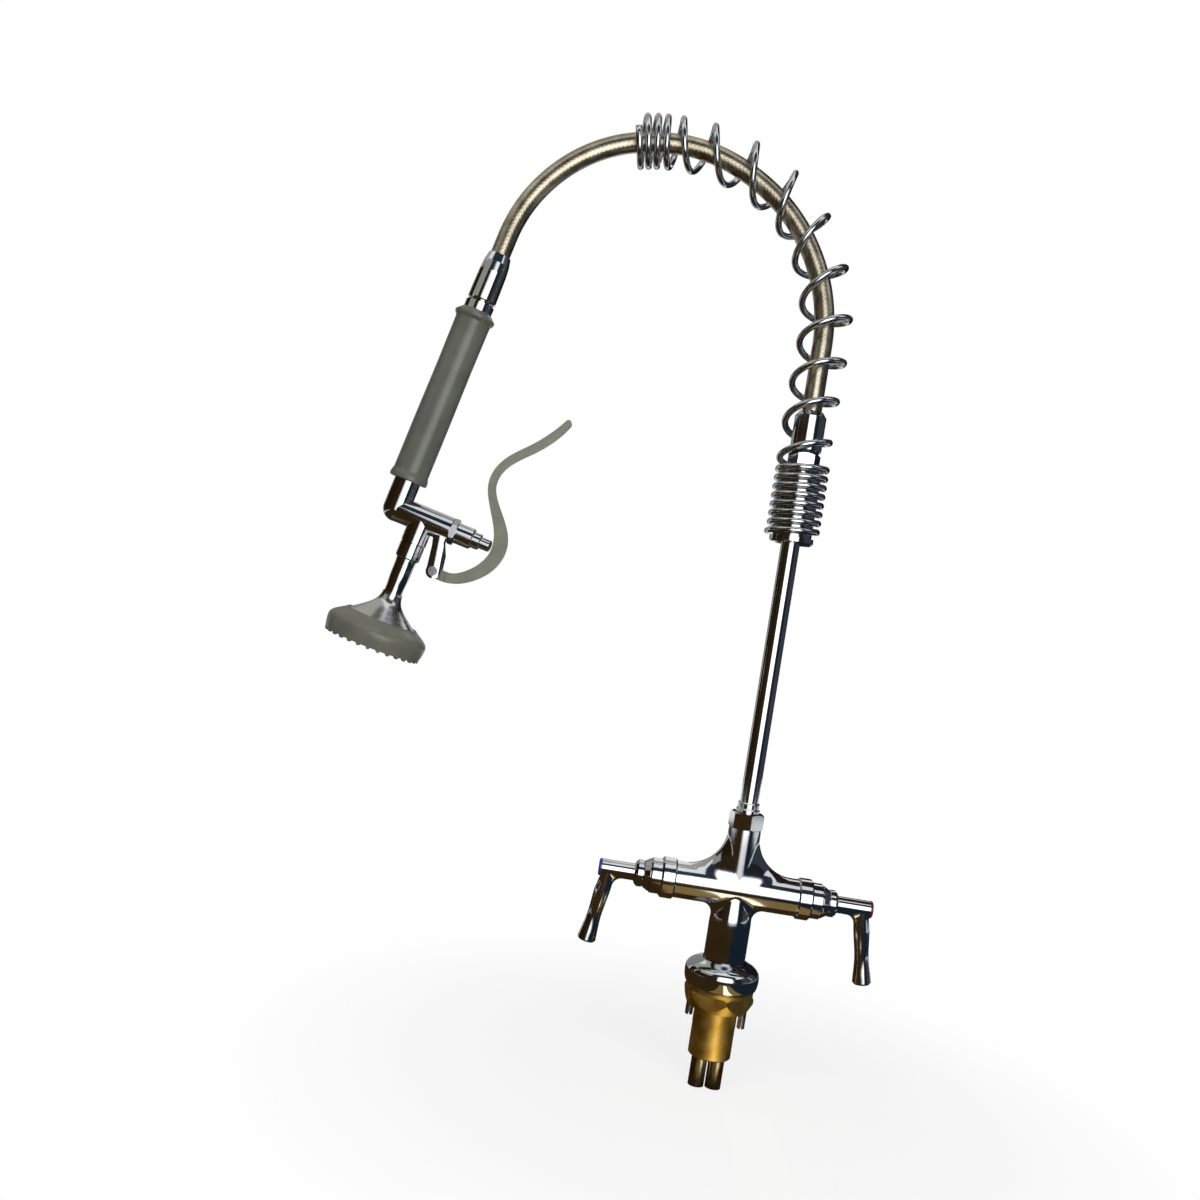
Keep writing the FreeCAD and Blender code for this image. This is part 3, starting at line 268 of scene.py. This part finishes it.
grip_rubber = moulded("nitrile_rubber_moulded_grey", "#5E6058", "#686A62", 0.30, 0.6, 0.03)
bumper_rubber = moulded("nitrile_rubber_moulded_pale", "#66675D", "#727368", 0.30, 0.6, 0.03)
lever_coat = moulded("zinc_casting_powder_coated", "#707365", "#7C7F70", 0.32, 0.9, 0.02)
seal_rubber = moulded("epdm_rubber_moulded_black", "#141414", "#202020", 0.50, 0.6, 0.03)
# The hot index's red is darkened to maroon: painted shade, for the shade on the handle's end.
red_plastic_painted_shade = moulded("acetal_moulded_red_painted_shade", "#4C0E12", "#601418", 0.30, 0.8, 0.01)
cold_plastic = moulded("acetal_moulded_blue", "#1B2F78", "#24409A", 0.30, 0.8, 0.01)
print("made", grip_rubber.name, lever_coat.name, red_plastic_painted_shade.name)

# %% [markdown]
# Spring wire is drawn through a die, plated, and then coiled. The die leaves lines along the
# wire, which a mesh can carry only along its own length, so the finish just streaks the gloss.

# %% Spring wire
def drawn_wire():
    """Bright plated wire with short streaks in its gloss."""
    material, tree, place = new_finish("steel_wire_drawn_bright")
    streak = noise(tree, place, 4, 6.0)
    shader = add(tree, "ShaderNodeBsdfPrincipled", None, {
        "Base Color": two_tones(tree, streak, "#B9BDC2", "#D4D7DA"),
        "Metallic": 1.0,
        "Roughness": between(tree, streak, 0.10, 0.24),
        "Normal": relief(tree, streak, 0.02, 0.3),
    })
    close_finish(tree, shader)
    return material


spring_wire = drawn_wire()
print("made", spring_wire.name)

# %% [markdown]
# The hose wears a sleeve of braided steel ribbons. The ribbons are real relief in the mesh; the
# finish adds the single wires of each ribbon, from the same unrolled coordinates, and a warm
# grey tone that changes in patches over the whole sleeve.

# %% Braided sleeve
def braided_sleeve():
    """Satin steel braid over rubber: wires as fine lines both ways, warm grey in patches."""
    material, tree, place = new_finish("stainless_wire_braided")
    unrolled = add(tree, "ShaderNodeUVMap", {"uv_map": "unrolled"}).outputs["UV"]
    wires = []
    for quarter in (45, -45):
        turned = add(tree, "ShaderNodeMapping", None, {
            "Vector": unrolled, "Rotation": (0, 0, math.radians(quarter)),
        })
        wires.append(add(tree, "ShaderNodeTexWave", {"bands_direction": "X"}, {
            "Vector": turned.outputs["Vector"], "Scale": band_scale(0.5), "Distortion": 0.6,
        }).outputs["Fac"])
    both = combine(tree, "MAXIMUM", wires[0], wires[1])
    tone_patches = noise(tree, place, 9, 4.0)
    shader = add(tree, "ShaderNodeBsdfPrincipled", None, {
        "Base Color": two_tones(tree, tone_patches, "#A49B86", "#C5BDA9"),
        "Metallic": 1.0,
        "Roughness": between(tree, tone_patches, 0.25, 0.35),
        "Normal": relief(tree, both, 0.02, 0.3),
    })
    close_finish(tree, shader)
    return material


braid = braided_sleeve()
print("made", braid.name)

# %% [markdown]
# Each solid now takes its finish. A node's name says which piece it is, so one table from
# finish to names dresses them all, and a count shows that none is missed.

# %% Dress the solids
BOTH_SIDES = ("hot", "cold")
DRESS = {
    chrome: ["mixing_body", "deck_flange", "union_nut", "riser_tube", "riser_collar", "spring_holder",
             "hose_nut", "hose_lower_ferrule", "hose_upper_ferrule", "handle_adapter", "valve_body",
             "valve_bonnet", "plunger", "lever_pin", "outlet_nut", "outlet_stem"],
    satin_chrome: ["spray_bell", "spray_face"],
    brass: ["shank", "clamp_washer", "locknut", "riser_tail_ring", "grip_tube"],
    zinc: ["jack_screws"],
    grip_rubber: ["grip"],
    bumper_rubber: ["bumper"],
    lever_coat: ["squeeze_lever"],
    seal_rubber: ["deck_gasket", "riser_o_ring", "hose_washer", "plunger_o_ring", "valve_seal"],
    spring_wire: ["return_spring"],
    tail_plate: [],
    red_plastic_painted_shade: ["hot_index"],
    cold_plastic: ["cold_index"],
}
for side in BOTH_SIDES:
    DRESS[chrome] += [side + "_bonnet", side + "_handle"]
    DRESS[brass] += [side + "_cartridge", side + "_spindle"]
    DRESS[zinc] += [side + "_handle_screw"]
    DRESS[seal_rubber] += [side + "_seat_seal"]
    DRESS[tail_plate] += [side + "_supply_tube"]

dressed = set()
for finish, names in DRESS.items():
    for name in names:
        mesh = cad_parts[name].data
        mesh.materials.clear()
        mesh.materials.append(finish)
        dressed.add(name)
print("dressed", len(dressed), "left for new pieces", sorted(set(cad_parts) - dressed))

# %% [markdown]
# The hose rises from the riser, is bent over by the spring, and drops to the spray valve. A
# smooth curve needs few points: these are the corners of the line that the bend is drawn
# inside, and a NURBS curve rounds them. Reading the curve back gives the hose's centre line.

# %% Hose line
HOSE_STEPS = 90
# Corners as (x, z), from the riser to the spray valve.
HOSE_CORNERS = [
    (0.0, 0.4080), (0.0, 0.4500), (0.0, 0.5211), (-0.0356, 0.5829), (-0.0974, 0.6185), (-0.1594, 0.6185),
    (-0.2069, 0.5957), (-0.2399, 0.5547), (-0.2520, 0.5033), (-0.2562, 0.4854),
]


def read_curve(name, corners, steps):
    """Points along a NURBS curve through the middle of a list of (x, z) corners."""
    curve = bpy.data.curves.new(name, "CURVE")
    curve.dimensions = "3D"
    curve.resolution_u = steps
    spline = curve.splines.new("NURBS")
    spline.points.add(len(corners) - 1)
    for point, (x, z) in zip(spline.points, corners):
        point.co = (x, 0.0, z, 1.0)
    spline.order_u = 3
    spline.use_endpoint_u = True
    holder = bpy.data.objects.new(name, curve)
    mesh = bpy.data.meshes.new_from_object(holder)
    points = [v.co.copy() for v in mesh.vertices]
    bpy.data.objects.remove(holder)
    bpy.data.meshes.remove(mesh)
    bpy.data.curves.remove(curve)
    return points


hose_line = read_curve("hose_line", HOSE_CORNERS, HOSE_STEPS)

# %% [markdown]
# The braid is modelled, because its relief is what breaks up the highlight. Ribbons run both
# ways round the hose and pass over and under each other like a basket. The height of the weave
# at each point of the tube comes from which ribbon is on top there.

# %% Hose with its braid
HOSE_R = 0.0075
RIBBONS = 14
WEAVE_DEPTH = 0.00012
AROUND = 84


def weave(across, along):
    """Height of the braid from 0 to 1, where both arguments count ribbons."""
    p, q = across + along, across - along
    over_p = (math.floor(p) + math.floor(q)) % 2 == 0
    crown, length = (p, q) if over_p else (q, p)
    return math.sqrt(abs(math.sin(math.pi * crown))) * (0.6 + 0.4 * abs(math.sin(math.pi * length)))


def smooth_mesh(name, points, faces):
    """A smooth shaded mesh object in the scene."""
    mesh = bpy.data.meshes.new(name)
    mesh.from_pydata(points, [], faces)
    mesh.polygons.foreach_set("use_smooth", [True] * len(faces))
    piece = bpy.data.objects.new(name, mesh)
    bpy.context.scene.collection.objects.link(piece)
    return piece


def tube_faces(rings, sides):
    """Faces of a tube made of rings of points: four-sided all along, then one flat face at each end."""
    faces = []
    for i in range(rings - 1):
        for j in range(sides):
            k = (j + 1) % sides
            faces.append((i * sides + j, i * sides + k, (i + 1) * sides + k, (i + 1) * sides + j))
    last = (rings - 1) * sides
    faces.append(tuple(range(sides - 1, -1, -1)))
    faces.append(tuple(range(last, last + sides)))
    return faces


def direction(line, i):
    """Direction of a line of points at one of them."""
    return (line[min(i + 1, len(line) - 1)] - line[max(i - 1, 0)]).normalized()


def braided_hose(line):
    """A tube round a line in the XZ plane whose surface is the woven sleeve."""
    girth = 2 * math.pi * HOSE_R
    depth = Vector((0, 1, 0))
    points, unrolled, along = [], [], 0.0
    for i, centre in enumerate(line):
        if i:
            along += (centre - line[i - 1]).length
        side = depth.cross(direction(line, i))
        for j in range(AROUND):
            turn = 2 * math.pi * j / AROUND
            height = weave(RIBBONS * j / AROUND, RIBBONS * along / girth)
            radius = HOSE_R - WEAVE_DEPTH * (1 - height)
            points.append(centre + (side * math.cos(turn) + depth * math.sin(turn)) * radius)
            unrolled.append((girth * j / AROUND, along))
    piece = smooth_mesh("braided_hose", points, tube_faces(len(line), AROUND))
    layer = piece.data.uv_layers.new(name="unrolled")
    for loop in piece.data.loops:
        layer.data[loop.index].uv = unrolled[loop.vertex_index]
    return piece


hose = braided_hose(hose_line)
hose.data.materials.append(braid)
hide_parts("hose")
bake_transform(hose)
print("hose faces", len(hose.data.polygons))

# %% [markdown]
# The overhead spring is one wire. It sits in close turns on its holder, opens out round the
# bend, and closes again at the top, where its last turns grip the hose. Its turns are counted
# along the hose's line, carried on straight down the riser to the holder. Round the bend the
# coil stands off the hose's centre line, and its turns do not stand quite square to it.

# %% Spring turn by turn
WIRE_R = 0.0025
COIL_R = 0.01775
FOOT = 0.3437       # height of the wire's start over the deck
LEAN_SHARE = 0.2    # how far the front of an open turn stands ahead, as a share of its opening
# Number of turns, then millimetres of pitch, of shift to the outside of the bend, and of how far
# the outer side of a turn stands ahead of the middle.
SPRING_RUNS = [
    (8.0, 6.7, 0.0, 0.0), (1.0, 32.4, -1.0, 1.3), (1.0, 29.4, -0.5, 1.4), (1.0, 30.0, 0.2, 1.0),
    (1.0, 32.2, 1.0, 0.2), (1.0, 35.4, 2.6, 0.2), (1.0, 33.0, 4.6, 1.8), (1.0, 31.5, 4.6, 4.0),
    (1.0, 31.5, 3.0, 4.2), (1.0, 29.5, 1.2, 2.4), (1.0, 17.0, 0.6, 0.0), (3.25, 7.0, 0.6, -1.5),
]
TOTAL_TURNS = sum(run[0] for run in SPRING_RUNS)
CLOSE_PITCH = SPRING_RUNS[0][1] / 1000
AVERAGED = 20


def run_values(turn):
    """Distance over the deck, shift and tilt after some turns, in metres."""
    done, height = 0.0, FOOT
    for turns, pitch, shift, tilt in SPRING_RUNS:
        if turn <= done + turns or done + turns == TOTAL_TURNS:
            return Vector((height + (turn - done) * pitch / 1000, shift / 1000, tilt / 1000))
        done += turns
        height += turns * pitch / 1000


def smooth_values(turn):
    """The same values, averaged over one turn so that the wire bends gently."""
    total = Vector((0, 0, 0))
    for i in range(AVERAGED):
        total += run_values(turn + (i + 0.5) / AVERAGED - 0.5)
    return total / AVERAGED


print("spring turns", TOTAL_TURNS, "top at", round(smooth_values(TOTAL_TURNS)[0], 4))

# %% [markdown]
# The wire's own centre line winds round the hose's line, and a round section is carried along
# it. Each ring of the section is turned as little as possible from the one before, so the wire
# does not twist. A short straight run ends it at both sides, cut square.

# %% Overhead spring
POINTS_PER_TURN = 40
WIRE_SIDES = 20


def along_line(line, start_height):
    """A function from distance over the deck to a point of the line and its direction."""
    marks = [start_height]
    for a, b in zip(line[:-1], line[1:]):
        marks.append(marks[-1] + (b - a).length)

    def at(distance):
        if distance <= marks[0]:
            return Vector((0, 0, distance)), Vector((0, 0, 1))
        i = 0
        while i < len(marks) - 2 and marks[i + 1] < distance:
            i += 1
        part = (distance - marks[i]) / (marks[i + 1] - marks[i])
        return line[i].lerp(line[i + 1], part), (line[i + 1] - line[i]).normalized()

    return at


def coil_points(at):
    """Points of the wire's own centre line, with a straight run at each end."""
    points = []
    forward = Vector((0, -1, 0))
    for i in range(int(TOTAL_TURNS * POINTS_PER_TURN) + 1):
        turn = i / POINTS_PER_TURN
        angle = 2 * math.pi * turn
        distance, shift, tilt = smooth_values(turn)
        opening = smooth_values(turn + 0.5)[0] - smooth_values(turn - 0.5)[0] - CLOSE_PITCH
        centre, tangent = at(distance + LEAN_SHARE * opening * math.sin(angle) - tilt * math.cos(angle))
        inner = Vector((-tangent.z, 0, tangent.x))
        across = inner * (COIL_R * math.cos(angle) - shift)
        points.append(centre + across + forward * (COIL_R * math.sin(angle)))
    foot = points[0] + (points[0] - points[1]).normalized() * 2 * WIRE_R
    head = points[-1] + (points[-1] - points[-2]).normalized() * 2 * WIRE_R
    return [foot] + points + [head]


def wire_mesh(name, line, radius, sides):
    """A round wire along a line, with flat ends."""
    points = []
    side = None
    for i, centre in enumerate(line):
        tangent = direction(line, i)
        side = tangent.orthogonal() if side is None else side - tangent * side.dot(tangent)
        side.normalize()
        other = tangent.cross(side)
        for j in range(sides):
            turn = 2 * math.pi * j / sides
            points.append(centre + (side * math.cos(turn) + other * math.sin(turn)) * radius)
    piece = smooth_mesh(name, points, tube_faces(len(line), sides))
    for end in (-1, -2):
        piece.data.polygons[end].use_smooth = False
    return piece


wire_line = coil_points(along_line(hose_line, HOSE_CORNERS[0][1]))
spring = wire_mesh("overhead_spring_wire", wire_line, WIRE_R, WIRE_SIDES)
spring.data.materials.append(spring_wire)
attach(spring, "arch")
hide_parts("overhead_spring")
print("spring faces", len(spring.data.polygons))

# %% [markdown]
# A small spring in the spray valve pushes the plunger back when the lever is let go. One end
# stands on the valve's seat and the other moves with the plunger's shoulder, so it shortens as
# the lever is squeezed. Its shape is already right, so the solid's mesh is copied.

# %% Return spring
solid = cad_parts["return_spring"]
return_coil = bpy.data.objects.new("return_spring_wire", solid.data.copy())
return_coil.matrix_world = solid.matrix_world
bpy.context.scene.collection.objects.link(return_coil)
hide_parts("return_spring")
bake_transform(return_coil)

# %% [markdown]
# The studio is a sheet of white paper under white light. Far from the faucet the paper glows at
# exactly white for the camera and for mirrors, so no horizon shows; near it the paper is
# ordinary, and takes the shadow.

# %% White floor and world
def seen_directly(tree):
    """1 for camera, mirror and glass rays, 0 for light that bounces off rough surfaces."""
    path = add(tree, "ShaderNodeLightPath")
    mirror = combine(tree, "MAXIMUM", path.outputs["Is Camera Ray"], path.outputs["Is Glossy Ray"])
    return combine(tree, "MAXIMUM", mirror, path.outputs["Is Transmission Ray"])


def sheet(name, width, height):
    """A flat rectangle round its own middle."""
    w, h = width / 2, height / 2
    return smooth_mesh(name, [(-w, -h, 0), (w, -h, 0), (w, h, 0), (-w, h, 0)], [(0, 1, 2, 3)])


def white_paper(near, far, least):
    """Matte white paper whose share of plain white light grows to 1 between two distances."""
    material, tree, place = new_finish("paper_matte_white")
    fibre = noise(tree, place, 2)
    paper = add(tree, "ShaderNodeBsdfPrincipled", None, {
        "Base Color": two_tones(tree, fibre, "#F2F2F1", "#F6F6F5"), "Roughness": 0.9,
    })
    glow = add(tree, "ShaderNodeEmission", None, {"Color": (1, 1, 1, 1), "Strength": 1.0})
    distance = add(tree, "ShaderNodeVectorMath", {"operation": "LENGTH"}, {0: place})
    fade = add(tree, "ShaderNodeMapRange", {"interpolation_type": "SMOOTHSTEP"}, {
        "Value": distance.outputs["Value"], "From Min": near, "From Max": far, "To Min": least,
    })
    share = combine(tree, "MULTIPLY", fade.outputs["Result"], seen_directly(tree))
    close_finish(tree, add(tree, "ShaderNodeMixShader", None, {
        0: share, 1: paper.outputs[0], 2: glow.outputs[0],
    }))
    return material


FLOOR_SIZE = 8.0
FLOOR_GAP = 0.0005
FLOOR_Z = cad_box[0].z - FLOOR_GAP
GLOW_START = 0.12
GLOW_FULL = 0.42
LEAST_GLOW = 0.8
ROOM_LIGHT = 0.30
floor = sheet("floor", FLOOR_SIZE, FLOOR_SIZE)
floor.location.z = FLOOR_Z
floor.data.materials.append(white_paper(GLOW_START, GLOW_FULL, LEAST_GLOW))

world = bpy.data.worlds.new("white_studio")
bpy.context.scene.world = world
world.use_nodes = True
sky = world.node_tree
sky.nodes.clear()
soft = add(sky, "ShaderNodeBackground", None, {"Color": (1, 1, 1, 1), "Strength": ROOM_LIGHT})
white = add(sky, "ShaderNodeBackground", None, {"Color": (1, 1, 1, 1), "Strength": 1.0})
mixed = add(sky, "ShaderNodeMixShader", None, {
    0: seen_directly(sky), 1: soft.outputs[0], 2: white.outputs[0],
})
add(sky, "ShaderNodeOutputWorld", None, {"Surface": mixed.outputs[0]})
print("floor at", round(FLOOR_Z, 4))

# %% [markdown]
# Bright metal in a white room looks like white paper. A photographer builds a room of cards
# round it, just out of the picture, and the metal draws that room: one white panel in front, a
# little to the right, dark brown at the left, slate at the right, grey and near black behind and
# above, and warm and cool sheets on the table. The cards show only in reflections. The lamps do
# the opposite: they light the surfaces but no mirror shows them.

# %% Cards and lamps
def facing(place, target):
    """Turn that makes an object's -Z side face a target."""
    return (Vector(target) - Vector(place)).to_track_quat("-Z", "Y").to_euler()


def fade_out(tree, spot, glow, width, height, edge):
    """A card's glow that goes to nothing over a soft edge, as a lit cloth panel does."""
    axes = add(tree, "ShaderNodeSeparateXYZ", None, {0: spot})
    share = 1.0
    for axis, size in (("X", width), ("Y", height)):
        off = add(tree, "ShaderNodeMath", {"operation": "ABSOLUTE"}, {0: axes.outputs[axis]})
        ramp = add(tree, "ShaderNodeMapRange", {"interpolation_type": "SMOOTHSTEP"}, {
            "Value": off.outputs["Value"], "From Min": size / 2 - edge, "From Max": size / 2,
            "To Min": 1.0, "To Max": 0.0,
        })
        share = combine(tree, "MULTIPLY", ramp.outputs["Result"], share)
    clear = add(tree, "ShaderNodeBsdfTransparent")
    return add(tree, "ShaderNodeMixShader", None, {0: share, 1: clear.outputs[0], 2: glow.outputs[0]})


def card(name, tone, place, target, width, height, strength=1.0, edge=0.0):
    """A card of one tone that only mirrors can see."""
    material, tree, spot = new_finish(name)
    glow = add(tree, "ShaderNodeEmission", None, {"Color": linear(tone), "Strength": strength})
    if edge:
        glow = fade_out(tree, spot, glow, width, height, edge)
    close_finish(tree, glow)
    piece = sheet(name, width, height)
    piece.location = place
    piece.rotation_euler = facing(place, target)
    piece.data.materials.append(material)
    piece.visible_camera = False
    piece.visible_diffuse = False
    piece.visible_shadow = False


def soft_box(name, place, target, width, height, watts):
    """A rectangular lamp with even soft light, which mirrors do not see."""
    lamp = bpy.data.lights.new(name, "AREA")
    lamp.shape = "RECTANGLE"
    lamp.size = width
    lamp.size_y = height
    lamp.energy = watts
    holder = bpy.data.objects.new(name, lamp)
    holder.location = place
    holder.rotation_euler = facing(place, target)
    holder.visible_glossy = False
    bpy.context.scene.collection.objects.link(holder)


MIDDLE = (-0.1, 0.0, 0.3)
TABLE_Z = FLOOR_Z + 0.0003
CARD_LIFT = 0.0002
card("card_front_white", "#FFFFFF", (0.115, -0.8, 0.345), (0.115, 0.0, 0.345), 0.86, 0.94, 3.0, 0.24)
card("card_front_top", "#2A3440", (0.0, -1.0, 1.25), MIDDLE, 2.0, 0.8)
card("card_front_left", "#33271A", (-0.85, -1.1, 0.4), MIDDLE, 1.0, 1.2)
card("card_front_right", "#22262C", (1.0, -1.0, 0.4), MIDDLE, 0.9, 1.2)
card("card_left", "#2A1E0C", (-1.3, -0.1, 0.45), MIDDLE, 2.2, 1.3)
card("card_right", "#3F444C", (1.3, -0.1, 0.45), MIDDLE, 2.2, 1.3)
card("card_back_left", "#8F938F", (-0.7, 1.5, 0.5), MIDDLE, 1.6, 1.6)
card("card_back_right", "#1A1A20", (0.9, 1.5, 0.5), MIDDLE, 1.6, 1.6)
card("card_ceiling_left", "#B4B2AA", (-0.7, 0.5, 1.6), MIDDLE, 1.6, 1.8)
card("card_ceiling_right", "#2B1E20", (0.9, 0.5, 1.6), MIDDLE, 1.6, 1.8)
card("card_table_left", "#3A2A14", (-0.55, -0.1, TABLE_Z), (-0.55, -0.1, 1.0), 1.3, 2.4)
card("card_table_right", "#1B2732", (0.60, -0.1, TABLE_Z), (0.60, -0.1, 1.0), 1.0, 2.4)
card("card_table_near", "#8F7648", (0.03, -0.15, TABLE_Z + CARD_LIFT), (0.03, -0.15, 1.0), 0.14, 0.24)
card("card_table_glint", "#FFF0D0", (0.028, -0.15, TABLE_Z + 2 * CARD_LIFT), (0.028, -0.15, 1.0),
     0.035, 0.22, 2.0)
card("card_upper_left", "#A9A69C", (-0.9, -0.45, 0.85), (0.0, 0.0, 0.1), 0.8, 0.5)
soft_box("overhead_box", (-0.2, -1.1, 1.5), (0.0, 0.0, 0.2), 1.8, 0.8, 14.0)
soft_box("right_strip", (0.72, -1.30, 0.55), (0.0, 0.0, 0.3), 0.35, 1.2, 5.0)
print("cards and lamps ready")
